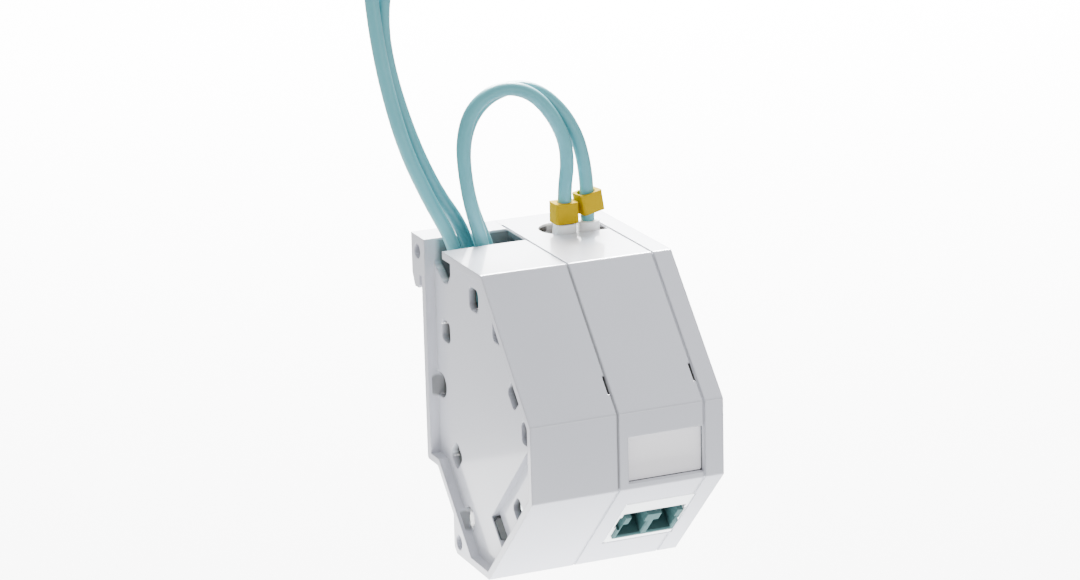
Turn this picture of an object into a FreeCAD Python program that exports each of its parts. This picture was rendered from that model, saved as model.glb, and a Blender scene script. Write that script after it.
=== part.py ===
import FreeCAD, Part
import math
import os

# Keystone holder for a 35 mm top-hat rail: a cable store, a keystone housing and a side cover.
# Millimetres. X runs along the rail, -Y is the front, +Z is up.
# The origin is the middle of the holder's width, on the front face of the rail's lips, at the rail's centre.

os.makedirs("parts", exist_ok=True)
V = FreeCAD.Vector

# The rail that the holder clips to
RAIL_HEIGHT = 35.0
RAIL_LIP = 1.0

# Widths along the rail
SIDE_ALLOWANCE = 3.1
COVER_WIDTH = 4.0

# Side profile shared by all three housings
TOP_Z = 25.4
BOTTOM_Z = -34.6
FRONT_Y = -52.1
SHOULDER_Y = -30.3
FRONT_TOP_Z = 2.05
FRONT_BOTTOM_Z = -12.8
BACK_FOOT_Z = -19.3
BACK_STEP_Y = -5.2
EDGE_RADIUS = 0.6

# Wall thicknesses
WALL = 1.5
BACK_WALL = 1.8
PANEL = 1.5
HOUSING_PANEL = 1.3
COVER_WALL = 1.5

# Clearances
SLIDE_GAP = 0.25
FIT_GAP = 0.1
RAIL_GAP = 0.2

# Fixed hook over the rail's top edge, and the heel block under it
HOOK_BACK_Y = 4.9
HOOK_REACH = 2.6
HEEL_BLOCK_Y = -12.8
HEEL_CHAMFER = 1.2

# Coupling holes through both blocks
COUPLING_DIAMETER = 3.0
COUPLING_TOP_Y = 1.9
COUPLING_TOP_DROP = 3.1
COUPLING_HEEL_Y = -15.3
COUPLING_HEEL_RISE = 2.7
COUPLING_HOLE_DEPTH = 6.0
COUPLING_PIN_LENGTH = 12.0
PEG_REACH = 4.0
PEG_ROOT = 1.0

# Cable store: side panel set back in its rim, with a deeper band along the lower slope
RIM_DEPTH = 2.0
POCKET_STEP = 1.4
POCKET_BAND = 10.2
POCKET_LENGTH = 24.8
POCKET_WALL = 1.2
POCKET_MOUTH = 5.2
POCKET_MOUTH_LIP = 0.25
POCKET_MOUTH_FRONT = 1.0
WINDOW_CORNER = 1.25
FINGER = 1.3
FINGER_WIDTH = 4.0
FINGER_SET_BACK = 0.6
FINGER_SLOT = 5.0
BACK_SLOT_DEPTH = 4.4
BACK_SLOT_DROP = 29.0
HEEL_SLOT_DEPTH = 3.3
HEEL_SLOT_ALONG = 8.4

# Openings in the top wall
TOP_OPENING = 9.4
TOP_OPENING_MARGIN = 4.85

# Parting line and the release slots along it
SEAM_GROOVE = 0.25
RELEASE_LENGTH = 3.8
RELEASE_WIDTH = 0.6
RELEASE_DOWN_SLOPE = 25.7
TONGUE = 1.2
TONGUE_WIDTH = 6.0
TONGUE_REACH = 1.5
TONGUE_HOOK = 0.45

# Label recess on the housing's front face
LABEL_HEIGHT = 9.0
LABEL_TOP_DROP = 4.7
LABEL_DEPTH = 1.7
LABEL_CARD = 0.45
LABEL_BACKING = 1.0

# Keystone insert
KEY_SIDE = 0.85
KEY_HEIGHT = 16.1
KEY_DEPTH = 9.5
KEY_DOWN_SLOPE = 14.65
KEY_LUG = 1.0

# Duplex coupler held in the keystone insert
PORT_SIDE = 0.825
COUPLER_HEIGHT = 9.1
COUPLER_DOWN = 0.85
COUPLER_SET_BACK = -0.6
COUPLER_LENGTH = 24.0
COUPLER_FLANGE = 0.6
PORT_PITCH = 6.25
PORT_SQUARE = 4.8
PORT_SLOT_WIDTH = 3.3
PORT_SLOT_HEIGHT = 2.8
PORT_FLOOR = 0.8
PORT_LEAD = 0.25
PRONG_LENGTH = 2.6
SIDE_NOTCH = 0.45
SIDE_NOTCH_TOP = -2.3
SIDE_NOTCH_BOTTOM = 1.7
SLEEVE_OUTER = 1.7
SLEEVE_LENGTH = 6.8

# Fibre plug
FERRULE = 1.25
FERRULE_REACH = 4.1
NOSE = 4.5
NOSE_LENGTH = 9.4
PLUG_BODY_WIDTH = 5.4
PLUG_BODY_HEIGHT = 5.6
PLUG_LENGTH = 20.5
CRIMP = 3.4
CRIMP_LENGTH = 6.4
CLIP_WALL = 0.7
CLIP_LENGTH = 2.4
CLIP_GAP = 0.4
TRIGGER_WIDTH = 2.6
TRIGGER_SLOT = 3.2
FLANGE_AT = 4.9
FLANGE_RADIUS = 1.35
CHAMBER_GAP = 0.1

# Boots
BOOT_BASE = 5.2
BOOT_TIP = 4.4
BOOT_CORE = 1.7
BOOT_GROOVE = 0.7
BOOT_EXIT_Z = 26.9
BOOT_EXIT_Y = -8.3
BOOT_A_MARGIN = 8.2
BOOT_B_MARGIN = 3.4
FAR_BOOT_LENGTH = 22.0

# Marker clips on the cord
MARKER_WIDTH = 4.7
MARKER_DEPTH = 4.0
MARKER_HEIGHT = 4.0

# Cord strands
CORD = 2.7

# Rail foot, its guide and its spring
FOOT_WIDTH = 9.0
FOOT_TONGUE = 1.0
FOOT_THICK = 3.6
FOOT_REACH = 3.6
FOOT_TAIL_DROP = 1.4
CHEEK = 2.2
FOOT_TRAVEL = 3.0
SPRING_DIAMETER = 4.6
SPRING_WIRE = 0.45
SPRING_TURNS = 3.5
SPRING_SIDES = 14
SPIGOT = 3.2

# Derived widths, from the ports outwards
COUPLER_WIDTH = PORT_PITCH + PORT_SQUARE + 2 * PORT_SIDE
KEY_WIDTH = COUPLER_WIDTH + 2 * KEY_SIDE
MODULE_WIDTH = KEY_WIDTH + SIDE_ALLOWANCE

# Derived places
TOTAL_WIDTH = 2 * MODULE_WIDTH + COVER_WIDTH
X_LEFT = -TOTAL_WIDTH / 2
X_SEAM = X_LEFT + MODULE_WIDTH
X_COVER = X_SEAM + MODULE_WIDTH
X_RIGHT = TOTAL_WIDTH / 2
HEEL_Y = BACK_STEP_Y - (BACK_FOOT_Z - BOTTOM_Z)
RAIL_TOP = RAIL_HEIGHT / 2
OPENING_FRONT_Y = -BACK_WALL - TOP_OPENING
PANEL_X = X_LEFT + RIM_DEPTH
FAR_BELOW = 60.0
BOOT_A_X = X_COVER - BOOT_A_MARGIN
BOOT_B_X = X_COVER - BOOT_B_MARGIN


def outline():
    """Corners of the housings' side profile, as (y, z), from the back wall's foot round to the heel."""
    return [
        (0.0, BACK_FOOT_Z),
        (0.0, TOP_Z),
        (SHOULDER_Y, TOP_Z),
        (FRONT_Y, FRONT_TOP_Z),
        (FRONT_Y, FRONT_BOTTOM_Z),
        (SHOULDER_Y, BOTTOM_Z),
        (HEEL_Y, BOTTOM_Z),
        (BACK_STEP_Y, BACK_FOOT_Z),
    ]


def inset(points, depths):
    """The profile moved inwards by one depth for each side, side i running from corner i to the next."""
    count = len(points)
    lines = []
    for i in range(count):
        a = points[i]
        b = points[(i + 1) % count]
        length = math.hypot(b[0] - a[0], b[1] - a[1])
        direction = ((b[0] - a[0]) / length, (b[1] - a[1]) / length)
        inward = (-direction[1], direction[0])
        lines.append(((a[0] + inward[0] * depths[i], a[1] + inward[1] * depths[i]), direction))
    corners = []
    for i in range(count):
        (p, d) = lines[i - 1]
        (q, e) = lines[i]
        cross = d[0] * e[1] - d[1] * e[0]
        along = ((q[0] - p[0]) * e[1] - (q[1] - p[1]) * e[0]) / cross
        corners.append((p[0] + d[0] * along, p[1] + d[1] * along))
    return corners


def wall_depths(extra=0.0):
    """Wall thickness of each side of the profile, the back wall first."""
    return [BACK_WALL + extra] + [WALL + extra] * 7


def rounded_wire(points, radius):
    """Closed wire through 3-D corner points, with each corner turned by an arc."""
    count = len(points)
    starts = []
    ends = []
    middles = []
    for i in range(count):
        here = points[i]
        back = (points[i - 1] - here).normalize()
        on = (points[(i + 1) % count] - here).normalize()
        half = back.getAngle(on) / 2
        reach = radius / math.tan(half)
        starts.append(here + back * reach)
        ends.append(here + on * reach)
        bisector = (back + on).normalize()
        middles.append(here + bisector * (radius / math.sin(half) - radius))
    edges = []
    for i in range(count):
        edges.append(Part.Arc(starts[i], middles[i], ends[i]).toShape())
        edges.append(Part.LineSegment(ends[i], starts[(i + 1) % count]).toShape())
    return Part.Wire(edges)


def prism(points, x0, x1, radius=0.0):
    """Solid of a (y, z) polygon between two places along the rail."""
    corners = [V(x0, y, z) for (y, z) in points]
    if radius > 0:
        wire = rounded_wire(corners, radius)
    else:
        wire = Part.makePolygon(corners + [corners[0]])
    return Part.Face(wire).extrude(V(x1 - x0, 0, 0))


def block(x0, x1, y0, y1, z0, z1):
    """Box between two opposite corners."""
    return Part.makeBox(x1 - x0, y1 - y0, z1 - z0, V(x0, y0, z0))


def rod(radius, base, axis, length):
    """Cylinder from a base point along an axis."""
    return Part.makeCylinder(radius, length, base, axis)


def slope_frame(start, end, down, x=0.0):
    """Placement on a sloped side: local x along the rail, y down the slope, z into the housing."""
    length = math.hypot(end[0] - start[0], end[1] - start[1])
    dy = (end[0] - start[0]) / length
    dz = (end[1] - start[1]) / length
    origin = V(x, start[0] + dy * down, start[1] + dz * down)
    matrix = FreeCAD.Matrix(
        1, 0, 0, origin.x,
        0, dy, -dz, origin.y,
        0, dz, dy, origin.z,
        0, 0, 0, 1,
    )
    return FreeCAD.Placement(matrix)


def placed(shape, placement):
    """Copy of a shape, moved from its own frame into the holder's."""
    moved = shape.copy()
    moved.Placement = placement.multiply(moved.Placement)
    return moved


def merged(first, *others):
    """One solid from overlapping or touching solids."""
    return first.multiFuse(list(others)).removeSplitter()


def save(name, shape):
    """Write a node's STEP file, and print how many solids it holds."""
    shape.exportStep("parts/" + name + ".step")
    print(name, "solids", len(shape.Solids), "volume", round(shape.Volume, 2), "valid", shape.isValid())


PROFILE = outline()
INNER = inset(PROFILE, wall_depths())
KEY_FRAME = slope_frame(PROFILE[4], PROFILE[5], KEY_DOWN_SLOPE)
RELEASE_FRAME = slope_frame(PROFILE[2], PROFILE[3], RELEASE_DOWN_SLOPE)
BOTTOM_FRAME = slope_frame(PROFILE[5], PROFILE[6], (HEEL_Y - SHOULDER_Y) / 2)
KEY_X = X_COVER + 0.5 - KEY_WIDTH / 2
PORT_AXIS_DOWN = COUPLER_DOWN + COUPLER_HEIGHT / 2 - PORT_FLOOR - PORT_SQUARE / 2
PORT_X = [KEY_X - PORT_PITCH / 2, KEY_X + PORT_PITCH / 2]


def rail_hook(x0, x1):
    """Block behind the back wall's top, with the lip that drops behind the rail's upper edge."""
    seat_z = RAIL_TOP + RAIL_GAP
    lip_y = RAIL_LIP + RAIL_GAP
    tip_z = RAIL_TOP - HOOK_REACH
    lead = (HOOK_BACK_Y - lip_y) / 3
    points = [
        (-BACK_WALL / 2, seat_z),
        (-BACK_WALL / 2, TOP_Z),
        (HOOK_BACK_Y, TOP_Z),
        (HOOK_BACK_Y, tip_z + 2 * lead),
        (HOOK_BACK_Y - lead, tip_z),
        (lip_y + lead / 2, tip_z),
        (lip_y, tip_z + lead / 2),
        (lip_y, seat_z),
    ]
    return prism(points, x0, x1)


def heel_block(x0, x1):
    """Block under the sloping heel wall, which carries the lower coupling hole."""
    wall_z = BACK_FOOT_Z - (BACK_STEP_Y - HEEL_BLOCK_Y)
    points = [
        (HEEL_BLOCK_Y, wall_z),
        (HEEL_BLOCK_Y - WALL / 2, wall_z + WALL / 2),
        (HEEL_Y - WALL, BOTTOM_Z + WALL / 2),
        (HEEL_Y - WALL, BOTTOM_Z),
        (HEEL_BLOCK_Y - HEEL_CHAMFER, BOTTOM_Z),
        (HEEL_BLOCK_Y, BOTTOM_Z + HEEL_CHAMFER),
    ]
    return prism(points, x0, x1)


def coupling_centres():
    """The two coupling hole axes, as (y, z)."""
    return [(COUPLING_TOP_Y, TOP_Z - COUPLING_TOP_DROP), (COUPLING_HEEL_Y, BOTTOM_Z + COUPLING_HEEL_RISE)]


def rim(x0, x1):
    """Walls of one housing all round its profile, with the rail hook and the heel block."""
    outer = prism(PROFILE, x0, x1, EDGE_RADIUS)
    walls = merged(outer, rail_hook(x0, x1), heel_block(x0, x1))
    return walls.cut(prism(INNER, x0 - 1, x1 + 1))


def coupling_cut(x0, x1):
    """Both coupling holes, between two places along the rail."""
    radius = COUPLING_DIAMETER / 2
    cuts = [rod(radius, V(x0, y, z), V(1, 0, 0), x1 - x0) for (y, z) in coupling_centres()]
    return Part.makeCompound(cuts)


def seam_groove(x0, x1):
    """Ring that bevels the outside of a housing at a parting line."""
    outer = prism(inset(PROFILE, [-1.0] * 8), x0, x1)
    core = prism(inset(PROFILE, [SEAM_GROOVE] * 8), x0 - 1, x1 + 1)
    core = core.fuse(block(x0 - 1, x1 + 1, -BACK_WALL, HOOK_BACK_Y + 2, 0, TOP_Z - 2 * SEAM_GROOVE))
    keep_back = block(x0 - 1, x1 + 1, -BACK_WALL, HOOK_BACK_Y + 2, -FAR_BELOW, TOP_Z - 2 * SEAM_GROOVE)
    keep_heel = prism(
        [(HEEL_Y - WALL, BOTTOM_Z - 2), (1, BOTTOM_Z - 2), (1, BACK_FOOT_Z + 1), (BACK_STEP_Y, BACK_FOOT_Z + 1)],
        x0 - 1,
        x1 + 1,
    )
    return outer.cut(core).cut(keep_back).cut(keep_heel)


def tongue(frame, seam_x, toward):
    """Snap tongue that reaches over a seam under the neighbour's wall, with its hook. toward is +1 or -1."""
    face = WALL + FIT_GAP
    half = TONGUE_WIDTH / 2

    def bar(near, far, depth0, depth1, width):
        a = seam_x + toward * near
        b = seam_x + toward * far
        return block(min(a, b), max(a, b), -width, width, depth0, depth1)

    arm = bar(-2.4, TONGUE_REACH, face, face + TONGUE, half)
    root = bar(-2.4, -0.6, WALL / 2, face + TONGUE, half)
    hook = bar(TONGUE_REACH - 0.8, TONGUE_REACH, face - TONGUE_HOOK, face + TONGUE / 2, half)
    return placed(merged(arm, root, hook), frame)


def tongue_pocket(frame, seam_x, toward):
    """Groove in the neighbour's wall that the tongue's hook drops into."""
    near = seam_x + toward * (TONGUE_REACH - 0.8 - FIT_GAP)
    far = seam_x + toward * (TONGUE_REACH + FIT_GAP)
    half = TONGUE_WIDTH / 2 + FIT_GAP
    depth = WALL - TONGUE_HOOK
    return placed(block(min(near, far), max(near, far), -half, half, depth, WALL + 2), frame)


def release_slot(seam_x, toward):
    """Screwdriver slot at the seam on the upper slope. toward says on which side of the seam it lies."""
    a = seam_x
    b = seam_x + toward * RELEASE_WIDTH
    half = RELEASE_LENGTH / 2
    return placed(block(min(a, b), max(a, b), -half, half, -1, WALL + 0.05), RELEASE_FRAME)


# Panel windows: (y, z, length, width, turn in degrees).
# The finger stands past the window's end that its turned length axis points to.
WINDOWS = [
    (-21.6, 18.2, 4.6, 4.6, 90.0),
    (-6.9, 8.1, 4.3, 4.3, 0.0),
    (-10.5, -16.0, 4.6, 4.2, -45.0),
    (-37.5, -19.1, 4.4, 4.2, 225.0),
    (-45.0, -1.4, 3.4, 4.4, 180.0),
    (-40.0, 4.6, 4.4, 4.6, 137.0),
    (-32.8, 14.9, 4.6, 4.6, 90.0),
]


def turned_block(window, along0, along1, half_width, x0, x1, radius=0.0):
    """Prism in a window's own turned axes."""
    angle = math.radians(window[4])
    ay, az = math.cos(angle), math.sin(angle)
    corners = []
    for (u, w) in ((along0, -half_width), (along1, -half_width), (along1, half_width), (along0, half_width)):
        corners.append((window[0] + u * ay - w * az, window[1] + u * az + w * ay))
    return prism(corners, x0, x1, radius)


def store_window(window):
    """Rounded window through the store's side panel."""
    half = window[2] / 2
    far_x = PANEL_X + POCKET_STEP + PANEL + 1
    return turned_block(window, -half, half, window[3] / 2, X_LEFT - 1, far_x, WINDOW_CORNER)


def store_finger(window):
    """Post beside a window, with a tab that reaches back over the cable space."""
    half = window[2] / 2
    end_x = X_SEAM - FINGER_SET_BACK
    start_x = PANEL_X + PANEL / 2
    post = turned_block(window, half, half + FINGER, FINGER_WIDTH / 2, start_x, end_x)
    tab = turned_block(window, -half + 0.4, half + FINGER, FINGER_WIDTH / 2, end_x - FINGER, end_x)
    return merged(post, tab)


def back_slot():
    """Round-ended slot in the panel, in from the back wall."""
    half = FINGER_SLOT / 2
    z = TOP_Z - BACK_SLOT_DROP
    y = -BACK_WALL - BACK_SLOT_DEPTH + half
    end = rod(half, V(X_LEFT - 1, y, z), V(1, 0, 0), RIM_DEPTH + PANEL + 2)
    slot = end.fuse(block(X_LEFT - 1, PANEL_X + PANEL + 1, y, -BACK_WALL, z - half, z + half))
    return slot.common(block(X_LEFT - 1, X_SEAM, y - FINGER_SLOT, -BACK_WALL, z - FINGER_SLOT, z + FINGER_SLOT))


def heel_slot():
    """Round-ended slot in the panel, in from the sloping heel wall."""
    frame = slope_frame(PROFILE[6], PROFILE[7], HEEL_SLOT_ALONG)
    half = FINGER_SLOT / 2
    depth = WALL + HEEL_SLOT_DEPTH - half
    end = rod(half, V(X_LEFT - 1, 0, depth), V(1, 0, 0), RIM_DEPTH + PANEL + 2)
    slot = end.fuse(block(X_LEFT - 1, PANEL_X + PANEL + 1, -half, half, WALL, depth))
    inner = block(X_LEFT - 1, X_SEAM, -FINGER_SLOT, FINGER_SLOT, WALL, depth + FINGER_SLOT)
    return placed(slot.common(inner), frame)


def pocket_band(extra, x0, x1):
    """Band along the inside of the lower slope, in which the store's panel is set deeper."""
    frame = slope_frame(PROFILE[4], PROFILE[5], 0.0)
    band = block(x0, x1, -FAR_BELOW, POCKET_LENGTH + extra, -1, POCKET_BAND + extra)
    return placed(band, frame)


def pocket_mouth():
    """Opening through the deeper band's panel and its end wall, under a lip of the higher panel."""
    frame = slope_frame(PROFILE[4], PROFILE[5], POCKET_LENGTH)
    x0 = PANEL_X + POCKET_MOUTH_LIP
    far = 2 * POCKET_WALL
    low = POCKET_BAND - POCKET_MOUTH
    mouth = block(x0, PANEL_X + POCKET_STEP + PANEL + 1, -POCKET_MOUTH_FRONT, far, low, POCKET_BAND)
    mouth = mouth.makeFillet(0.4, [e for e in mouth.Edges if abs(e.tangentAt(e.FirstParameter).y) > 0.9])
    return placed(mouth, frame)


def store_panel():
    """Side panel of the store, set back in its rim and stepped deeper along the lower slope."""
    step_x = PANEL_X + POCKET_STEP
    inside = [(y, z) for (y, z) in inset(PROFILE, wall_depths(-0.3))]
    high = prism(inside, PANEL_X, PANEL_X + PANEL).cut(pocket_band(POCKET_WALL, X_LEFT - 1, X_SEAM))
    low = prism(inside, PANEL_X, step_x + PANEL).common(pocket_band(POCKET_WALL, X_LEFT - 1, X_SEAM))
    low = low.cut(pocket_band(0.0, X_LEFT - 1, step_x))
    return merged(high, low)


def store_shell():
    """Cable store: a tray open towards the housing, which holds one turn of spare cord."""
    body = merged(rim(X_LEFT, X_SEAM), store_panel())
    body = merged(body, *[store_finger(w) for w in WINDOWS])
    body = merged(body, tongue(RELEASE_FRAME, X_SEAM, 1), tongue(BOTTOM_FRAME, X_SEAM, 1))
    cuts = [store_window(w) for w in WINDOWS]
    cuts += [back_slot(), heel_slot(), pocket_mouth()]
    # Notch in the panel below the top opening, through which the cord drops in
    notch = [
        (-BACK_WALL, TOP_Z + 3),
        (-BACK_WALL, TOP_Z - 4.8),
        (-BACK_WALL - 4.2, TOP_Z - 7.6),
        (-BACK_WALL - 6.6, TOP_Z - 7.6),
        (-BACK_WALL - 8.2, TOP_Z - 5.4),
        (-BACK_WALL - 8.2, TOP_Z + 3),
    ]
    cuts.append(prism(notch, X_LEFT - 1, PANEL_X + PANEL + 0.5, 1.2))
    cuts.append(block(X_LEFT - 1, X_SEAM + 1, OPENING_FRONT_Y, -BACK_WALL, TOP_Z - WALL - 0.5, TOP_Z + 1))
    cuts.append(coupling_cut(X_LEFT - 1, X_LEFT + COUPLING_HOLE_DEPTH))
    cuts.append(coupling_cut(X_SEAM - COUPLING_PIN_LENGTH / 2 - 0.5, X_SEAM + 1))
    cuts.append(seam_groove(X_SEAM - SEAM_GROOVE, X_SEAM + 1))
    cuts.append(release_slot(X_SEAM, -1))
    return body.cut(Part.makeCompound(cuts)).removeSplitter()


def foot_axis_x():
    """Middle of the foot along the rail: the middle of the keystone housing."""
    return (X_SEAM + X_COVER) / 2


def foot_plate_y():
    """Front and back faces of the foot's sliding plate."""
    return (-0.8 - FOOT_THICK, -0.8)


def spring_seat():
    """Spring axis (x, y), its foot on the cross bar and its head under the foot's shelf."""
    bar_top = BOTTOM_Z + 1.6
    y = (foot_plate_y()[0] + HEEL_BLOCK_Y) / 2
    wall_z = BACK_FOOT_Z - max(0.0, BACK_STEP_Y - (y - SPRING_DIAMETER / 2))
    shelf_bottom = wall_z - 0.8 - 1.8
    return (foot_axis_x(), y, bar_top, shelf_bottom)


def foot_guide():
    """Two cheeks with grooves behind the heel wall, joined by the cross bar that the spring stands on."""
    x_mid = foot_axis_x()
    front, back = foot_plate_y()
    inner = FOOT_WIDTH / 2 + SLIDE_GAP
    groove = inner + FOOT_TONGUE
    outer = inner + CHEEK
    parts = []
    for side in (-1, 1):
        cheek = prism(
            [
                (back + 0.7, BACK_FOOT_Z + 0.2),
                (BACK_STEP_Y, BACK_FOOT_Z + 0.2),
                (HEEL_BLOCK_Y - 0.5, BACK_FOOT_Z + HEEL_BLOCK_Y - BACK_STEP_Y + 0.2),
                (HEEL_BLOCK_Y - 0.5, BOTTOM_Z),
                (back + 0.7 - 2.0, BOTTOM_Z),
                (back + 0.7, BOTTOM_Z + 2.0),
            ],
            min(x_mid + side * inner, x_mid + side * outer),
            max(x_mid + side * inner, x_mid + side * outer),
        )
        edges = (x_mid + side * (inner - 0.5), x_mid + side * groove)
        slot = block(
            min(edges),
            max(edges),
            front + 1.0 - SLIDE_GAP,
            back - 0.8 + SLIDE_GAP,
            BOTTOM_Z - 1,
            BACK_FOOT_Z,
        )
        parts.append(cheek.cut(slot))
    x, y, bar_top, shelf_bottom = spring_seat()
    bar = block(x_mid - outer, x_mid + outer, HEEL_BLOCK_Y - 0.5, front - SLIDE_GAP, BOTTOM_Z, bar_top)
    spigot = rod(SPIGOT / 2, V(x, y, bar_top - 0.2), V(0, 0, 1), 1.2)
    return merged(bar, parts[0], parts[1], spigot)


def key_opening(x0, x1):
    """Opening for the keystone insert in the lower slope, in the holder's frame."""
    half = KEY_HEIGHT / 2 + FIT_GAP
    return placed(block(x0, x1, -half, half, -1, WALL + 1.5), KEY_FRAME)


def label_space(depth, x0, x1):
    """Box of the label recess, that far into the front wall."""
    top = FRONT_TOP_Z - LABEL_TOP_DROP
    return block(x0, x1, FRONT_Y - 1, FRONT_Y + depth, top - LABEL_HEIGHT, top)


def module_shell():
    """Keystone housing: walls, side panel, foot guide, keystone opening and label recess."""
    panel_x = X_SEAM + RIM_DEPTH
    inside = inset(PROFILE, wall_depths(-0.3))
    body = merged(rim(X_SEAM, X_COVER), prism(inside, panel_x, panel_x + HOUSING_PANEL), foot_guide())
    label_top = FRONT_TOP_Z - LABEL_TOP_DROP
    backing = block(
        panel_x,
        X_COVER - COVER_WALL,
        FRONT_Y + WALL / 2,
        FRONT_Y + WALL + LABEL_BACKING,
        label_top - LABEL_HEIGHT - 1,
        label_top + 1,
    )
    body = merged(body, backing)
    cuts = [key_opening(KEY_X - KEY_WIDTH / 2 - FIT_GAP, X_COVER + 1)]
    cuts.append(label_space(LABEL_DEPTH, panel_x, X_COVER + 1))
    # Cable opening in the top wall, round at its left end and closed by the side cover at its right
    round_x = X_SEAM + TOP_OPENING_MARGIN + TOP_OPENING / 2
    middle_y = (OPENING_FRONT_Y - BACK_WALL) / 2
    cuts.append(rod(TOP_OPENING / 2, V(round_x, middle_y, TOP_Z - WALL - 0.5), V(0, 0, 1), WALL + 2))
    cuts.append(block(round_x, X_COVER + 1, OPENING_FRONT_Y, -BACK_WALL, TOP_Z - WALL - 0.5, TOP_Z + 1))
    pin_depth = COUPLING_PIN_LENGTH / 2 + 0.5
    cuts.append(coupling_cut(X_SEAM - 1, X_SEAM + pin_depth))
    cuts.append(coupling_cut(X_COVER - pin_depth, X_COVER + 1))
    cuts.append(seam_groove(X_SEAM - 1, X_SEAM + SEAM_GROOVE))
    cuts.append(seam_groove(X_COVER - SEAM_GROOVE, X_COVER + 1))
    cuts.append(release_slot(X_COVER, -1))
    cuts.append(tongue_pocket(RELEASE_FRAME, X_SEAM, 1))
    cuts.append(tongue_pocket(BOTTOM_FRAME, X_SEAM, 1))
    cuts.append(tongue_pocket(RELEASE_FRAME, X_COVER, -1))
    cuts.append(tongue_pocket(BOTTOM_FRAME, X_COVER, -1))
    return body.cut(Part.makeCompound(cuts)).removeSplitter()


def side_cover():
    """Shallow cap that closes the housing's open side."""
    inside = inset(PROFILE, wall_depths(-0.3))
    wall = prism(inside, X_RIGHT - COVER_WALL, X_RIGHT)
    tongues = [tongue(RELEASE_FRAME, X_COVER, -1), tongue(BOTTOM_FRAME, X_COVER, -1)]
    body = merged(rim(X_COVER, X_RIGHT), wall, *tongues)
    # Two pegs that seat in the housing's coupling holes
    pegs = []
    for (y, z) in coupling_centres():
        peg = rod(COUPLING_DIAMETER / 2 - FIT_GAP, V(X_COVER - PEG_REACH, y, z), V(1, 0, 0), PEG_REACH + PEG_ROOT)
        pegs.append(peg)
    body = merged(body, *pegs)
    cuts = [key_opening(X_COVER - 1, KEY_X + KEY_WIDTH / 2 + FIT_GAP)]
    cuts.append(seam_groove(X_COVER - 1, X_COVER + SEAM_GROOVE))
    return body.cut(Part.makeCompound(cuts)).removeSplitter()


def coupling_pin(y, z):
    """Plain pin with chamfered ends, half in the store and half in the housing."""
    radius = COUPLING_DIAMETER / 2 - 0.05
    pin = rod(radius, V(X_SEAM - COUPLING_PIN_LENGTH / 2, y, z), V(1, 0, 0), COUPLING_PIN_LENGTH)
    rims = [e for e in pin.Edges if isinstance(e.Curve, Part.Circle)]
    return pin.makeChamfer(0.4, rims)


def label_card():
    """Card in the label recess, left blank."""
    top = FRONT_TOP_Z - LABEL_TOP_DROP - FIT_GAP
    back = FRONT_Y + LABEL_DEPTH
    left = X_SEAM + RIM_DEPTH + FIT_GAP
    card = block(left, X_COVER - FIT_GAP, back - LABEL_CARD, back, top - LABEL_HEIGHT + 2 * FIT_GAP, top)
    upright = [e for e in card.Edges if abs(e.tangentAt(e.FirstParameter).y) > 0.9]
    return card.makeFillet(0.4, upright)


def keystone_frame():
    """White keystone insert: face block with the coupler's opening, a fixed lug below and a latch above."""
    half_w = KEY_WIDTH / 2
    half_h = KEY_HEIGHT / 2
    body = block(KEY_X - half_w, KEY_X + half_w, -half_h, half_h, 0, KEY_DEPTH)
    lug = block(KEY_X - 4, KEY_X + 4, half_h - 0.5, half_h + KEY_LUG, WALL + FIT_GAP, WALL + FIT_GAP + 1.6)
    arm = Part.makePolygon([
        V(KEY_X - 2.5, -half_h + 0.5, KEY_DEPTH),
        V(KEY_X - 2.5, -half_h + 0.5, KEY_DEPTH - 1.4),
        V(KEY_X - 2.5, -half_h - 0.9, KEY_DEPTH - 1.4),
        V(KEY_X - 2.5, -half_h - 0.5, WALL + 1.6),
        V(KEY_X - 2.5, -half_h - 0.5, WALL + FIT_GAP),
        V(KEY_X - 2.5, -half_h - 1.6, WALL + FIT_GAP),
        V(KEY_X - 2.5, -half_h - 1.6, WALL + 1.0),
        V(KEY_X - 2.5, -half_h - 1.9, KEY_DEPTH - 0.9),
        V(KEY_X - 2.5, -half_h - 1.5, KEY_DEPTH),
        V(KEY_X - 2.5, -half_h + 0.5, KEY_DEPTH),
    ])
    latch = Part.Face(arm).extrude(V(5, 0, 0))
    body = merged(body, lug, latch)
    half_cw = COUPLER_WIDTH / 2 + FIT_GAP / 2
    half_ch = COUPLER_HEIGHT / 2 + FIT_GAP / 2
    through = block(
        KEY_X - half_cw, KEY_X + half_cw, COUPLER_DOWN - half_ch, COUPLER_DOWN + half_ch, -1, KEY_DEPTH + 1
    )
    body = body.cut(through)
    front = [e for e in body.Edges if abs(e.CenterOfMass.z) < 0.01 and e.Length > KEY_WIDTH - 0.5]
    body = body.makeChamfer(0.25, front)
    notch = block(
        KEY_X - half_cw - SIDE_NOTCH, KEY_X + half_cw + SIDE_NOTCH, SIDE_NOTCH_TOP, SIDE_NOTCH_BOTTOM, -1, 3.0
    )
    return placed(body.cut(notch), KEY_FRAME)


def port(x, z0, z1):
    """Space of one plug port: a square for the nose and a narrower slot for its latch."""
    half = PORT_SQUARE / 2
    square = block(x - half, x + half, PORT_AXIS_DOWN - half, PORT_AXIS_DOWN + half, z0, z1)
    slot_top = PORT_AXIS_DOWN - half - PORT_SLOT_HEIGHT
    slot_half = PORT_SLOT_WIDTH / 2
    slot = block(x - slot_half, x + slot_half, slot_top, PORT_AXIS_DOWN, z0, z1)
    return merged(square, slot)


def coupler_middle():
    """Depth of the plane in which the ferrules meet."""
    return COUPLER_SET_BACK + COUPLER_LENGTH / 2


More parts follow.
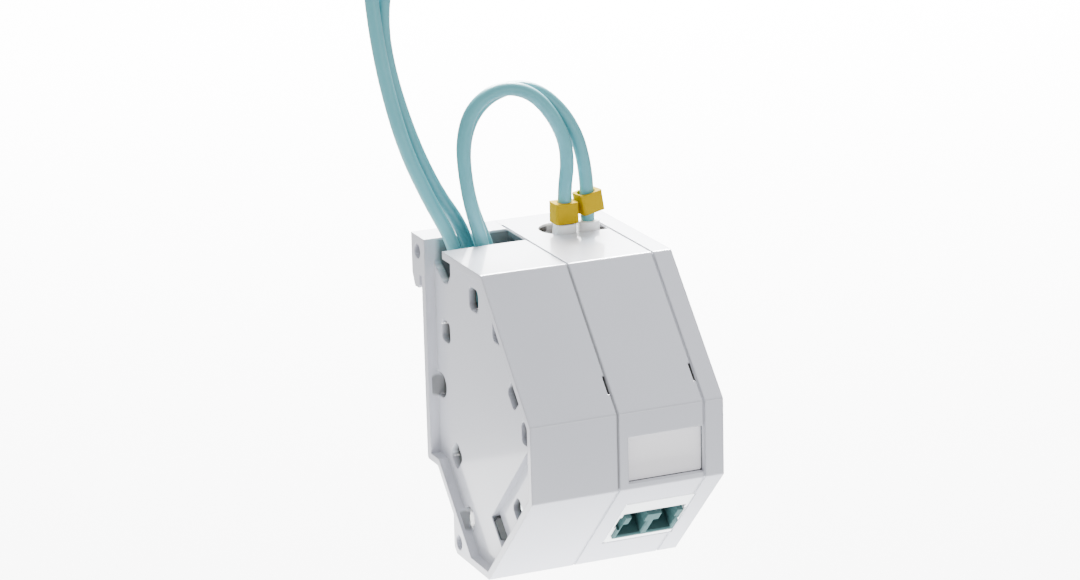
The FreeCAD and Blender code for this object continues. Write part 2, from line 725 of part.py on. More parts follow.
def lead_in(x, z, inward):
    """Flared mouth of a port: wider by the lead at the coupler's end face."""
    half = PORT_SQUARE / 2
    wires = []
    for (grow, depth) in ((2 * PORT_LEAD, -PORT_LEAD), (0.0, PORT_LEAD)):
        reach = half + grow
        corners = [(x - reach, -half - grow), (x + reach, -half - grow), (x + reach, reach), (x - reach, reach)]
        points = [V(a, PORT_AXIS_DOWN + b, z + inward * depth) for (a, b) in corners]
        wires.append(Part.makePolygon(points + [points[0]]))
    return Part.makeLoft(wires, True, True)


def coupler_body():
    """Duplex coupler: two ports from each end, and a middle wall with the sleeve bores."""
    half_w = COUPLER_WIDTH / 2
    half_h = COUPLER_HEIGHT / 2
    start = COUPLER_SET_BACK
    end = start + COUPLER_LENGTH
    top = COUPLER_DOWN - half_h
    slot_top = PORT_AXIS_DOWN - PORT_SQUARE / 2 - PORT_SLOT_HEIGHT
    body = block(KEY_X - half_w, KEY_X + half_w, top, COUPLER_DOWN + half_h, start, end)
    flange = block(
        KEY_X - half_w - COUPLER_FLANGE,
        KEY_X + half_w + COUPLER_FLANGE,
        top - COUPLER_FLANGE,
        COUPLER_DOWN + half_h + COUPLER_FLANGE,
        KEY_DEPTH,
        KEY_DEPTH + 1.2,
    )
    body = merged(body, flange)
    middle = coupler_middle()
    reach = SLEEVE_LENGTH / 2 + 0.5
    cuts = []
    for x in PORT_X:
        cuts.append(port(x, start - 1, middle - reach))
        cuts.append(port(x, middle + reach, end + 1))
        cuts.append(lead_in(x, start, 1))
        cuts.append(lead_in(x, end, -1))
        bore_start = V(x, PORT_AXIS_DOWN, middle - reach - 1)
        cuts.append(rod(SLEEVE_OUTER / 2 + 0.03, bore_start, V(0, 0, 1), 2 * reach + 2))
    # The roof stops short of the front, so that prongs stand between and beside the latch slots
    roof_end = start + PRONG_LENGTH
    cuts.append(block(KEY_X - half_w - 1, KEY_X + half_w + 1, top - 1, slot_top, start - 1, roof_end))
    for side in (-1, 1):
        edges = (KEY_X + side * (half_w - SIDE_NOTCH), KEY_X + side * (half_w + 1))
        cuts.append(block(min(edges), max(edges), top - 1, SIDE_NOTCH_BOTTOM, start - 1, roof_end))
    # Latch windows in the roof over each slot
    for x in PORT_X:
        for z in (start + 4.0, end - 5.0):
            cuts.append(block(x - 1.0, x + 1.0, slot_top - 2, slot_top + 0.5, z, z + 2.0))
    return placed(body.cut(Part.makeCompound(cuts)).removeSplitter(), KEY_FRAME)


def sleeve(x):
    """Split ceramic sleeve that lines the two ferrules up."""
    start = coupler_middle() - SLEEVE_LENGTH / 2
    tube = rod(SLEEVE_OUTER / 2, V(x, PORT_AXIS_DOWN, start), V(0, 0, 1), SLEEVE_LENGTH)
    bore = rod(FERRULE / 2 + 0.03, V(x, PORT_AXIS_DOWN, start - 1), V(0, 0, 1), SLEEVE_LENGTH + 2)
    split = block(x - 0.1, x + 0.1, PORT_AXIS_DOWN, PORT_AXIS_DOWN + 2, start - 1, start + SLEEVE_LENGTH + 1)
    return placed(tube.cut(bore).cut(split), KEY_FRAME)


def side_strip(points, half_width):
    """Prism of a (y, z) polygon, that far to each side of the plug's middle plane."""
    corners = [V(-half_width, y, z) for (y, z) in points]
    return Part.Face(Part.makePolygon(corners + [corners[0]])).extrude(V(2 * half_width, 0, 0))


def plug_housing():
    """Plug in its own frame: ferrule tip at the origin, cord towards +z, latch on the -y side."""
    nose_end = FERRULE_REACH + NOSE_LENGTH
    half = NOSE / 2
    nose = block(-half, half, -half, half, FERRULE_REACH, nose_end)
    nose = nose.makeChamfer(0.3, [e for e in nose.Edges if abs(e.CenterOfMass.z - FERRULE_REACH) < 0.01])
    half_w = PLUG_BODY_WIDTH / 2
    half_h = PLUG_BODY_HEIGHT / 2
    run = PLUG_LENGTH - nose_end
    body = block(-half_w, half_w, -half_h, half_h, nose_end, PLUG_LENGTH)
    body = body.makeChamfer(0.4, [e for e in body.Edges if abs(e.tangentAt(e.FirstParameter).z) > 0.9])
    latch = side_strip(
        [
            (-half + 0.3, FERRULE_REACH + 0.5),
            (-half + 0.3, FERRULE_REACH + 1.6),
            (-half - 1.1, nose_end - 1.6),
            (-half - 1.6, nose_end + 0.4),
            (-half - 2.6, nose_end + 0.4),
            (-half - 2.5, nose_end - 1.0),
            (-half - 1.4, FERRULE_REACH + 3.4),
            (-half - 0.6, FERRULE_REACH + 0.5),
        ],
        1.0,
    )
    catch = block(-1.5, 1.5, -half - 1.5, -half - 0.75, FERRULE_REACH + 2.6, FERRULE_REACH + 3.6)
    trigger = side_strip(
        [
            (-half_h + 0.2, PLUG_LENGTH - 0.04 * run),
            (-half_h + 0.2, PLUG_LENGTH - 0.26 * run),
            (-half_h - 2.2, nose_end - 0.06 * run),
            (-half_h - 2.8, nose_end - 0.06 * run),
            (-half_h - 2.8, nose_end + 0.09 * run),
            (-half_h - 0.9, PLUG_LENGTH - 0.04 * run),
        ],
        TRIGGER_WIDTH / 2,
    )
    solid = merged(nose, body, latch, catch, trigger)
    bore = rod(FERRULE / 2 + 0.04, V(0, 0, 0), V(0, 0, 1), PLUG_LENGTH)
    chamber_start = FERRULE_REACH + FLANGE_AT - 3 * CHAMBER_GAP
    chamber = rod(FLANGE_RADIUS + CHAMBER_GAP, V(0, 0, chamber_start), V(0, 0, 1), PLUG_LENGTH)
    seat = rod(CRIMP / 2 + 0.04, V(0, 0, PLUG_LENGTH - CRIMP_LENGTH / 2), V(0, 0, 1), CRIMP_LENGTH)
    return solid.cut(bore).cut(chamber).cut(seat)


def ferrule():
    """Ceramic ferrule with its flange, in the plug's frame."""
    stem = rod(FERRULE / 2, V(0, 0, 0), V(0, 0, 1), FERRULE_REACH + 6.6)
    tip = [e for e in stem.Edges if isinstance(e.Curve, Part.Circle) and e.CenterOfMass.z < 0.01]
    stem = stem.makeChamfer(0.12, tip)
    flange = rod(FLANGE_RADIUS, V(0, 0, FERRULE_REACH + FLANGE_AT), V(0, 0, 1), 1.7)
    return merged(stem, flange)


def crimp_sleeve():
    """Metal sleeve half in the plug and half in the boot, in the plug's frame."""
    start = PLUG_LENGTH - CRIMP_LENGTH / 2
    tube = rod(CRIMP / 2, V(0, 0, start), V(0, 0, 1), CRIMP_LENGTH)
    return tube.cut(rod(0.9, V(0, 0, start - 1), V(0, 0, 1), CRIMP_LENGTH - 0.6))


def duplex_clip():
    """Clip that holds two plugs side by side, open under their levers, in the frame midway between them."""
    start = FERRULE_REACH + NOSE_LENGTH + CLIP_GAP
    end = start + CLIP_LENGTH
    half_w = PLUG_BODY_WIDTH / 2 + FIT_GAP / 2
    half_h = PLUG_BODY_HEIGHT / 2 + FIT_GAP / 2
    outer_w = PORT_PITCH / 2 + half_w + CLIP_WALL
    clip = block(-outer_w, outer_w, -half_h - CLIP_WALL, half_h + CLIP_WALL, start, end)
    clip = clip.makeFillet(0.6, [e for e in clip.Edges if abs(e.tangentAt(e.FirstParameter).z) > 0.9])
    cuts = []
    for side in (-1, 1):
        x = side * PORT_PITCH / 2
        cuts.append(block(x - half_w, x + half_w, -half_h, half_h, start - 1, end + 1))
        half_slot = TRIGGER_SLOT / 2
        cuts.append(block(x - half_slot, x + half_slot, -half_h - 3, 0.5 - half_h, start - 1, end + 1))
    return clip.cut(Part.makeCompound(cuts))


def plug_frame(x):
    """Placement of an inner plug: behind the coupler, on its port's axis."""
    depth = coupler_middle() + 0.05
    return KEY_FRAME.multiply(FreeCAD.Placement(V(x, PORT_AXIS_DOWN, depth), FreeCAD.Rotation()))


def far_frame(x, y, z):
    """Placement of a far plug: its cord end at (x, y, z), its tip straight above."""
    turn = FreeCAD.Rotation(V(1, 0, 0), 180)
    return FreeCAD.Placement(V(x, y, z + PLUG_LENGTH), turn)


def rounded_square(centre, right, up, half, radius):
    """Wire of a rounded square, in the plane of two unit vectors."""
    corners = []
    for (a, b) in ((-1, -1), (1, -1), (1, 1), (-1, 1)):
        corners.append(centre + right * (a * half) + up * (b * half))
    return rounded_wire(corners, radius)


def boot_solid(at, stations, grooves):
    """Tapered boot, square at its base and round at its tip, with a cross groove in two sides at each place.

    at gives the centre and the direction at a share of the boot's length.
    """
    wires = []
    for share in stations:
        centre, direction = at(share)
        half = (BOOT_BASE + (BOOT_TIP - BOOT_BASE) * share) / 2
        radius = 0.9 + (half * 0.86 - 0.9) * share
        right = V(1, 0, 0)
        up = direction.cross(right).normalize()
        wires.append(rounded_square(centre, right, up, half, radius))
    cuts = []
    for share in grooves:
        centre, direction = at(share)
        right = V(1, 0, 0)
        up = direction.cross(right).normalize()
        matrix = FreeCAD.Matrix(
            right.x, up.x, direction.x, centre.x,
            right.y, up.y, direction.y, centre.y,
            right.z, up.z, direction.z, centre.z,
            0, 0, 0, 1,
        )
        for side in (-1, 1):
            edges = (side * BOOT_CORE, side * 6.0)
            cut = block(min(edges), max(edges), -6.0, 6.0, -BOOT_GROOVE / 2, BOOT_GROOVE / 2)
            cuts.append(placed(cut, FreeCAD.Placement(matrix)))
    return Part.makeLoft(wires, True, True).cut(Part.makeCompound(cuts))


def crimp_seat(frame):
    """Space in a boot's base for half of the crimp sleeve."""
    seat = rod(CRIMP / 2 + 0.04, V(0, 0, PLUG_LENGTH - 1), V(0, 0, 1), CRIMP_LENGTH / 2 + 1.1)
    return placed(seat, frame)


def bent_boot(port_x, tip_x):
    """Boot of an inner plug: it leaves along the port's axis and turns upright into the top opening."""
    frame = plug_frame(port_x)
    start = frame.multVec(V(0, 0, PLUG_LENGTH))
    direction = (frame.multVec(V(0, 0, PLUG_LENGTH + 1)) - start).normalize()
    turn = math.acos(direction.z)
    bend = (BOOT_EXIT_Y - start.y) / (1 - math.cos(turn))
    arc = bend * turn
    arc_top = start.z + bend * math.sin(turn)
    total = arc + BOOT_EXIT_Z - arc_top

    def at(share):
        x = port_x + (tip_x - port_x) * share * share
        run = share * total
        if run >= arc:
            return V(x, BOOT_EXIT_Y, arc_top + run - arc), V(0, 0, 1)
        angle = turn - run / bend
        y = BOOT_EXIT_Y - bend * (1 - math.cos(angle))
        z = arc_top - bend * math.sin(angle)
        return V(x, y, z), V(0, math.sin(angle), math.cos(angle))

    boot = boot_solid(at, (0.0, 0.18, 0.36, 0.54, 0.7, 1.0), [0.30 + 0.08 * i for i in range(7)])
    return boot.cut(crimp_seat(frame))


def far_boot(x, y, z):
    """Straight boot of a far plug, from the cord end at (x, y, z) up to the plug."""

    def at(share):
        return V(x, y, z + FAR_BOOT_LENGTH * (1 - share)), V(0, 0, -1)

    boot = boot_solid(at, (0.0, 1.0), [0.26 + 0.1 * i for i in range(7)])
    return boot.cut(crimp_seat(far_frame(x, y, z + FAR_BOOT_LENGTH)))


# Route of each strand: from its inner boot, over the loop, round the store once and up to the far plug.
ROUTE_A = [
    (BOOT_A_X, -8.3, 26.9), (BOOT_A_X, -8.3, 33.4), (8.1, -8.4, 38.4), (7.6, -8.5, 43.4), (5.1, -8.6, 48.6),
    (1.3, -8.6, 53.1), (-3.5, -8.6, 55.0), (-8.2, -8.5, 54.2), (-12.0, -8.4, 50.8), (-13.5, -8.3, 45.1),
    (-13.1, -8.3, 38.4), (-11.9, -8.3, 31.4), (-9.7, -8.2, 24.2), (-8.5, -7.9, 15.0), (-8.4, -7.5, 4.5),
    (-8.6, -7.6, -7.5), (-9.0, -12.0, -18.3), (-9.6, -24.0, -24.6), (-10.4, -38.0, -18.8), (-11.6, -43.0, -6.5),
    (-12.6, -39.0, 6.0), (-13.8, -27.0, 12.0), (-14.4, -15.0, 11.8), (-14.4, -8.0, 16.4), (-14.6, -5.8, 24.6),
    (-19.5, -5.5, 34.0), (-24.1, -5.4, 44.6), (-27.2, -5.2, 56.6), (-29.0, -4.9, 68.0), (-29.8, -4.6, 79.5),
    (-29.8, -4.6, 90.0),
]
ROUTE_B = [
    (BOOT_B_X, -8.3, 26.9), (BOOT_B_X, -8.3, 33.4), (11.7, -7.9, 38.6), (10.6, -7.5, 43.6), (8.0, -6.9, 48.6),
    (4.0, -6.2, 52.7), (-0.8, -5.6, 54.4), (-6.0, -5.4, 53.3), (-10.0, -5.3, 49.8), (-12.0, -5.3, 44.6),
    (-12.0, -5.3, 38.2), (-10.8, -5.4, 31.2), (-8.0, -5.4, 24.2), (-5.9, -5.8, 15.0), (-5.5, -7.4, 4.5),
    (-5.7, -7.6, -7.5), (-6.1, -12.0, -18.3), (-6.7, -24.0, -24.6), (-7.5, -38.0, -18.8), (-8.7, -43.0, -6.5),
    (-9.7, -39.0, 6.0), (-10.9, -27.0, 12.0), (-11.6, -14.0, 11.4), (-11.5, -6.4, 15.2), (-10.4, -3.4, 22.0),
    (-12.7, -3.3, 28.4), (-17.0, -3.3, 34.8), (-21.5, -3.2, 44.8), (-25.1, -2.9, 56.6), (-26.9, -2.8, 67.0),
    (-26.4, -3.8, 76.6), (-23.55, -4.6, 84.0), (-23.55, -4.6, 90.0),
]


def cord_strand(name, route):
    """Tube along straight runs joined by tangent arcs, each as large as its two runs allow."""
    points = [V(*p) for p in route]
    edges = []
    here = points[0]
    tightest = 1000.0
    length = 0.0
    for i in range(1, len(points) - 1):
        back = points[i - 1] - points[i]
        on = points[i + 1] - points[i]
        turn = math.pi - back.getAngle(on)
        reach = 0.45 * min(back.Length, on.Length)
        radius = reach / math.tan(turn / 2)
        tightest = min(tightest, radius)
        start = points[i] + back.normalize() * reach
        end = points[i] + on.normalize() * reach
        middle = points[i] + (back + on).normalize() * (radius / math.cos(turn / 2) - radius)
        edges.append(Part.LineSegment(here, start).toShape())
        edges.append(Part.Arc(start, middle, end).toShape())
        here = end
    edges.append(Part.LineSegment(here, points[-1]).toShape())
    length = sum(e.Length for e in edges)
    path = Part.Wire(edges)
    ring = Part.Wire(Part.makeCircle(CORD / 2, points[0], points[1] - points[0]))
    tube = path.makePipeShell([ring], True, False)
    expected = math.pi * CORD * CORD / 4 * length
    print(name, "length", round(length, 1), "tightest radius", round(tightest, 2))
    print(name, "volume over section times length", round(tube.Volume / expected, 4))
    return tube


def marker(cord_x, cord_y, z0, left, tilt, turn):
    """Cable marker round one strand, left blank. left is how far its flag reaches to the left of the cord."""
    hole = CORD / 2 + 0.1 + math.tan(math.radians(tilt)) * MARKER_HEIGHT / 2
    body = block(-left, MARKER_WIDTH - left, -MARKER_DEPTH / 2, MARKER_DEPTH / 2, 0, MARKER_HEIGHT)
    body = body.makeFillet(0.5, [e for e in body.Edges if abs(e.tangentAt(e.FirstParameter).z) > 0.9])
    body = body.cut(rod(hole, V(0, 0, -1), V(0, 0, 1), MARKER_HEIGHT + 2))
    middle = V(0, 0, MARKER_HEIGHT / 2)
    body.rotate(middle, V(0, 1, 0), -tilt)
    body.rotate(middle, V(0, 0, 1), turn)
    body.translate(V(cord_x, cord_y, z0))
    return body


def rail_foot():
    """Sliding foot: plate with side tongues, hook behind the rail's lower edge, spring shelf and slotted tail."""
    x_mid = foot_axis_x()
    front, back = foot_plate_y()
    half = FOOT_WIDTH / 2
    seat_z = -RAIL_TOP - RAIL_GAP
    tip_z = -RAIL_TOP + HOOK_REACH - 0.3
    lip_y = RAIL_LIP + RAIL_GAP
    top_z = BACK_FOOT_Z - SLIDE_GAP
    x, y, bar_top, shelf_bottom = spring_seat()
    hook = prism(
        [
            (front, top_z),
            (front, BOTTOM_Z - FOOT_TAIL_DROP),
            (back, BOTTOM_Z - FOOT_TAIL_DROP),
            (back, top_z - 2.2),
            (FOOT_REACH - 0.8, top_z - 2.2),
            (FOOT_REACH, top_z - 1.4),
            (FOOT_REACH, seat_z + 0.4),
            (lip_y + 0.5, tip_z),
            (lip_y, tip_z),
            (lip_y, seat_z),
            (0.25, seat_z),
            (0.25, top_z),
        ],
        x_mid - half,
        x_mid + half,
    )
    wing = block(
        x_mid - half - FOOT_TONGUE + SLIDE_GAP * 2,
        x_mid + half + FOOT_TONGUE - SLIDE_GAP * 2,
        front + 1.0,
        back - 0.8,
        BOTTOM_Z + 1.0,
        top_z - 2.2,
    )
    shelf_front = y - SPRING_DIAMETER / 2 - 0.3
    shelf = block(x_mid - 3.2, x_mid + 3.2, shelf_front, front + 0.5, shelf_bottom, shelf_bottom + 1.6)
    spigot = rod(SPIGOT / 2, V(x, y, shelf_bottom - 1.0), V(0, 0, 1), 1.2)
    body = merged(hook, wing, shelf, spigot)
    slot = block(x_mid - 2.5, x_mid + 2.5, front - 1, back + 1, BOTTOM_Z - FOOT_TAIL_DROP + 0.9, BOTTOM_Z + 0.6)
    ribs = []
    for i in range(3):
        z = BOTTOM_Z + 6.0 + i * 1.6
        ribs.append(block(x_mid - half - 1, x_mid + half + 1, back - 0.35, back + 1, z, z + 0.7))
    return body.cut(slot).cut(Part.makeCompound(ribs))


def foot_spring():
    """Compression spring between the cross bar and the foot's shelf."""
    x, y, bar_top, shelf_bottom = spring_seat()
    gap = 0.05
    height = shelf_bottom - bar_top - SPRING_WIRE - 2 * gap
    radius = (SPRING_DIAMETER - SPRING_WIRE) / 2
    foot_z = bar_top + SPRING_WIRE / 2 + gap
    steps = int(SPRING_TURNS * SPRING_SIDES)
    points = []
    for i in range(steps + 1):
        angle = 2 * math.pi * i / SPRING_SIDES
        points.append(V(x + radius * math.cos(angle), y + radius * math.sin(angle), foot_z + height * i / steps))
    ring = Part.Wire(Part.makeCircle(SPRING_WIRE / 2, points[0], points[1] - points[0]))
    return Part.makePolygon(points).makePipeShell([ring], True, False, 1)


def build():
    save("store_shell", store_shell())
    save("module_shell", module_shell())
    save("side_cover", side_cover())
    save("rail_foot", rail_foot())
    save("foot_spring", foot_spring())
    for name, (y, z) in zip(("top", "bottom"), coupling_centres()):
        save("coupling_pin_" + name, coupling_pin(y, z))
    save("label_card", label_card())
    save("keystone_frame", keystone_frame())
    save("coupler_body", coupler_body())
    far_clip_x = (ROUTE_A[-1][0] + ROUTE_B[-1][0]) / 2
    far_y, far_z = ROUTE_A[-1][1], ROUTE_A[-1][2]
    save("duplex_clip", placed(duplex_clip(), plug_frame(KEY_X)))
    save("far_duplex_clip", placed(duplex_clip(), far_frame(far_clip_x, far_y, far_z + FAR_BOOT_LENGTH)))
    tips = (BOOT_A_X, BOOT_B_X)
    for strand, port_x, tip_x, route in zip("ab", PORT_X, tips, (ROUTE_A, ROUTE_B)):
        frame = plug_frame(port_x)
        far = far_frame(route[-1][0], route[-1][1], route[-1][2] + FAR_BOOT_LENGTH)
        save("sleeve_" + strand, sleeve(port_x))
        save("plug_" + strand, placed(plug_housing(), frame))
        save("ferrule_" + strand, placed(ferrule(), frame))
        save("crimp_" + strand, placed(crimp_sleeve(), frame))
        save("boot_" + strand, bent_boot(port_x, tip_x))
        save("far_plug_" + strand, placed(plug_housing(), far))
        save("far_ferrule_" + strand, placed(ferrule(), far))
        save("far_crimp_" + strand, placed(crimp_sleeve(), far))
        save("far_boot_" + strand, far_boot(*route[-1]))
        save("cord_" + strand, cord_strand("cord_" + strand, route))
    save("marker_a", marker(ROUTE_A[0][0], ROUTE_A[0][1], BOOT_EXIT_Z + 0.2, 2.5, 0.0, 0.0))
    save("marker_b", marker(ROUTE_B[0][0], ROUTE_B[0][1], BOOT_EXIT_Z + 1.7, 2.1, 9.0, 8.0))


build()
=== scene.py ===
import math

import bpy
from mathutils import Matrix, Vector


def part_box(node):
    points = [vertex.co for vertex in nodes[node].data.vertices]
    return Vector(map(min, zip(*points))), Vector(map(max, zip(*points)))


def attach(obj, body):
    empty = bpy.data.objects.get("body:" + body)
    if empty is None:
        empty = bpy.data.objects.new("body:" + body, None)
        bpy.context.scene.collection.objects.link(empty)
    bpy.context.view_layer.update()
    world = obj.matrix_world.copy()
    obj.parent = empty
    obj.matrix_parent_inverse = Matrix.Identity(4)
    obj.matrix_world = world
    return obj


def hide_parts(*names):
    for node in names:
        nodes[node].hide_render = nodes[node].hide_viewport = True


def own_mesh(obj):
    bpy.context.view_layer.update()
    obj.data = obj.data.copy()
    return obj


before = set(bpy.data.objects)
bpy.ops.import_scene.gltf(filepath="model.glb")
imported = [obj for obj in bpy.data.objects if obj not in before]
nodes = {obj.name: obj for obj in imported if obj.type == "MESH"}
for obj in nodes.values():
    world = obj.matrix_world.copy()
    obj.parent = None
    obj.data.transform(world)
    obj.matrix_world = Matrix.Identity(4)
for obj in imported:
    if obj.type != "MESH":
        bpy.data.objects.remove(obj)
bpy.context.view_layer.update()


# The camera: it stands to the left of the holder and a little above it,
# far enough away for the long lens to keep the housing's edges almost parallel.
sensor_mm = 36.0
focal_pixels = 3596
photo_width_pixels = 1080
camera_data = bpy.data.cameras.new("camera")
camera_data.sensor_fit = "HORIZONTAL"
camera_data.sensor_width = sensor_mm
camera_data.lens = focal_pixels / photo_width_pixels * sensor_mm
camera_data.clip_start = 0.05
camera = bpy.data.objects.new("camera", camera_data)
camera.location = (-0.2588325, -0.6236226, 0.2074984)
camera.rotation_euler = (math.radians(73.8551), math.radians(1.3928), math.radians(-23.3532))
bpy.context.scene.collection.objects.link(camera)
bpy.context.scene.camera = camera


# The two strands of a fibre cord: extruded aqua sheaths, 2.7 mm across and limp. Each comes up out of its
# boot, arches over, drops through the store's top slot, lies once round the store and leaves upwards.
class Shade:
    """A shader socket that takes part in sums; its node method adds any other node."""

    def __init__(self, tree, socket=None):
        self.tree = tree
        self.socket = socket

    def node(self, kind, settings=None, sockets=None, output=0):
        made = self.tree.nodes.new(kind)
        for name, value in (settings or {}).items():
            setattr(made, name, value)
        for name, value in (sockets or {}).items():
            if isinstance(value, Shade):
                self.tree.links.new(value.socket, made.inputs[name])
            else:
                made.inputs[name].default_value = value
        return Shade(self.tree, made.outputs[output])

    def maths(self, operation, first, second):
        return self.node("ShaderNodeMath", {"operation": operation}, {0: first, 1: second})

    def __add__(self, other):
        return self.maths("ADD", self, other)

    __radd__ = __add__

    def __sub__(self, other):
        return self.maths("SUBTRACT", self, other)

    def __rsub__(self, other):
        return self.maths("SUBTRACT", other, self)

    def __mul__(self, other):
        return self.maths("MULTIPLY", self, other)

    __rmul__ = __mul__


def new_finish(name):
    """An empty material, its shade to build on, and the shader at its end."""
    material = bpy.data.materials.new(name)
    material.use_nodes = True
    shader = material.node_tree.nodes["Principled BSDF"]
    return material, Shade(material.node_tree), shader


def feed(shader, socket, value):
    """Links a shade to one of the shader's sockets, or sets a plain value on it."""
    if isinstance(value, Shade):
        value.tree.links.new(value.socket, shader.inputs[socket])
    else:
        shader.inputs[socket].default_value = value


def ramp(shade, value, length):
    """0 where the value is nothing, rising evenly to 1 where it is that many metres."""
    return shade.node("ShaderNodeClamp", None, {"Value": value * (1.0 / length)})


def mottle(shade, place, size, detail=2.0, roughness=0.5):
    """Cloudy noise from 0 to 1, with blotches about that many metres across."""
    values = {"Vector": place, "Scale": 1.0 / size, "Detail": detail, "Roughness": roughness}
    return shade.node("ShaderNodeTexNoise", {"noise_dimensions": "3D"}, values)


def tint(shade, factor, low, high):
    """Colour between two, by a factor from 0 to 1. The Mix node's colours are its sockets 6 and 7."""
    ends = [colour if isinstance(colour, Shade) else (*colour, 1.0) for colour in (low, high)]
    return shade.node("ShaderNodeMix", {"data_type": "RGBA"}, {0: factor, 6: ends[0], 7: ends[1]}, 2)


def sheath_finish():
    """Extruded aqua sheath: faint draw lines, cloudy colour and a soft sheen."""
    material, shade, shader = new_finish("cord_sheath")
    place = shade.node("ShaderNodeTexCoord", output=3)
    cloud = mottle(shade, place, 0.006)
    fine = mottle(shade, place, 0.0004, 3.0, 0.6)
    dark_aqua, light_aqua = (0.072, 0.305, 0.350), (0.108, 0.382, 0.430)
    feed(shader, "Base Color", tint(shade, cloud * 0.7 + fine * 0.3, dark_aqua, light_aqua))
    feed(shader, "Roughness", 0.30 + fine * 0.14)
    bump = shade.node("ShaderNodeBump", None, {"Strength": 0.25, "Distance": 0.00004, "Height": fine})
    feed(shader, "Normal", bump)
    feed(shader, "Coat Weight", 0.08)
    feed(shader, "Coat Roughness", 0.3)
    return material


sheath = sheath_finish()
strand_diameter = 0.0027

# Points that each strand passes near, from its boot to its far plug
strand_routes = {
    "a": [
        (0.0073, -0.0083, 0.0269), (0.0073, -0.0083, 0.0334), (0.0081, -0.0084, 0.0384),
        (0.0076, -0.0085, 0.0434), (0.0051, -0.0086, 0.0486), (0.0013, -0.0086, 0.0531),
        (-0.0035, -0.0086, 0.0550), (-0.0082, -0.0085, 0.0542), (-0.0120, -0.0084, 0.0508),
        (-0.0135, -0.0083, 0.0451), (-0.0131, -0.0083, 0.0384), (-0.0119, -0.0083, 0.0314),
        (-0.0097, -0.0082, 0.0242), (-0.0085, -0.0079, 0.0150), (-0.0084, -0.0075, 0.0045),
        (-0.0086, -0.0076, -0.0075), (-0.0090, -0.0120, -0.0183), (-0.0096, -0.0240, -0.0246),
        (-0.0104, -0.0380, -0.0188), (-0.0116, -0.0430, -0.0065), (-0.0126, -0.0390, 0.0060),
        (-0.0138, -0.0270, 0.0120), (-0.0144, -0.0150, 0.0118), (-0.0144, -0.0080, 0.0164),
        (-0.0146, -0.0058, 0.0246), (-0.0195, -0.0055, 0.0340), (-0.0241, -0.0054, 0.0446),
        (-0.0272, -0.0052, 0.0566), (-0.0290, -0.0049, 0.0680), (-0.0298, -0.0046, 0.0795),
        (-0.0298, -0.0046, 0.0900),
    ],
    "b": [
        (0.0121, -0.0083, 0.0269), (0.0121, -0.0083, 0.0334), (0.0117, -0.0079, 0.0386),
        (0.0106, -0.0075, 0.0436), (0.0080, -0.0069, 0.0486), (0.0040, -0.0062, 0.0527),
        (-0.0008, -0.0056, 0.0544), (-0.0060, -0.0054, 0.0533), (-0.0100, -0.0053, 0.0498),
        (-0.0120, -0.0053, 0.0446), (-0.0120, -0.0053, 0.0382), (-0.0108, -0.0054, 0.0312),
        (-0.0080, -0.0054, 0.0242), (-0.0059, -0.0058, 0.0150), (-0.0055, -0.0074, 0.0045),
        (-0.0057, -0.0076, -0.0075), (-0.0061, -0.0120, -0.0183), (-0.0067, -0.0240, -0.0246),
        (-0.0075, -0.0380, -0.0188), (-0.0087, -0.0430, -0.0065), (-0.0097, -0.0390, 0.0060),
        (-0.0109, -0.0270, 0.0120), (-0.0116, -0.0140, 0.0114), (-0.0115, -0.0064, 0.0152),
        (-0.0104, -0.0034, 0.0220), (-0.0127, -0.0033, 0.0284), (-0.0170, -0.0033, 0.0348),
        (-0.0215, -0.0032, 0.0448), (-0.0251, -0.0029, 0.0566), (-0.0269, -0.0028, 0.0670),
        (-0.0264, -0.0038, 0.0766), (-0.02355, -0.0046, 0.0840), (-0.02355, -0.0046, 0.0900),
    ],
}

for letter, route in strand_routes.items():
    curve = bpy.data.curves.new("strand_" + letter, "CURVE")
    curve.dimensions = "3D"
    line = curve.splines.new("NURBS")
    line.points.add(len(route) - 1)
    for point, place in zip(line.points, route):
        point.co = (*place, 1.0)
    line.order_u = 3
    line.use_endpoint_u = True
    line.resolution_u = 14
    curve.bevel_depth = strand_diameter / 2
    curve.bevel_resolution = 6
    curve.use_fill_caps = True
    curve.materials.append(sheath)
    strand = bpy.data.objects.new("strand_" + letter, curve)
    bpy.context.scene.collection.objects.link(strand)
    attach(strand, "holder")
    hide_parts("cord_" + letter)


# The store, the keystone housing, the side cover and the pins that join them: light grey moulded plastic
# with a gloss on it, the outside edges a little rounded by the tool, and faint flow clouds in the colour.
# Little light gets behind the walls, so shade is painted into the grey there and along the seam of store
# and housing.
def dress(name, finish):
    """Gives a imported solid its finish."""
    for slot in nodes[name].material_slots:
        slot.material = finish


def moulded_finish(
    name, dark, light, roughness, grain=0.00035, edge=0.00025, coat=0.0, shine=0.5, hollow=None
):
    """Injection-moulded plastic between two near colours, with rounded edges and a fine grain.

    hollow, where given, paints shade into the colour: it says how dark each place is and which grey that
    shade has.
    """
    material, shade, shader = new_finish(name)
    place = shade.node("ShaderNodeTexCoord", output=3)
    cloud = mottle(shade, place, 0.022, 3.0)
    fine = mottle(shade, place, grain, 4.0, 0.6)
    colour = tint(shade, cloud * 0.8 + fine * 0.2, dark, light)
    if hollow:
        darkness, shade_colour = hollow(shade, place)
        colour = tint(shade, darkness, colour, shade_colour)
    feed(shader, "Base Color", colour)
    feed(shader, "Roughness", (roughness - 0.05) + fine * 0.08 + cloud * 0.03)
    soft_edge = shade.node("ShaderNodeBevel", {"samples": 6}, {"Radius": edge})
    values = {"Strength": 0.12, "Distance": 0.00003, "Height": fine, "Normal": soft_edge}
    feed(shader, "Normal", shade.node("ShaderNodeBump", None, values))
    feed(shader, "Coat Weight", coat)
    feed(shader, "Coat Roughness", 0.07)
    feed(shader, "Specular IOR Level", shine)
    return material
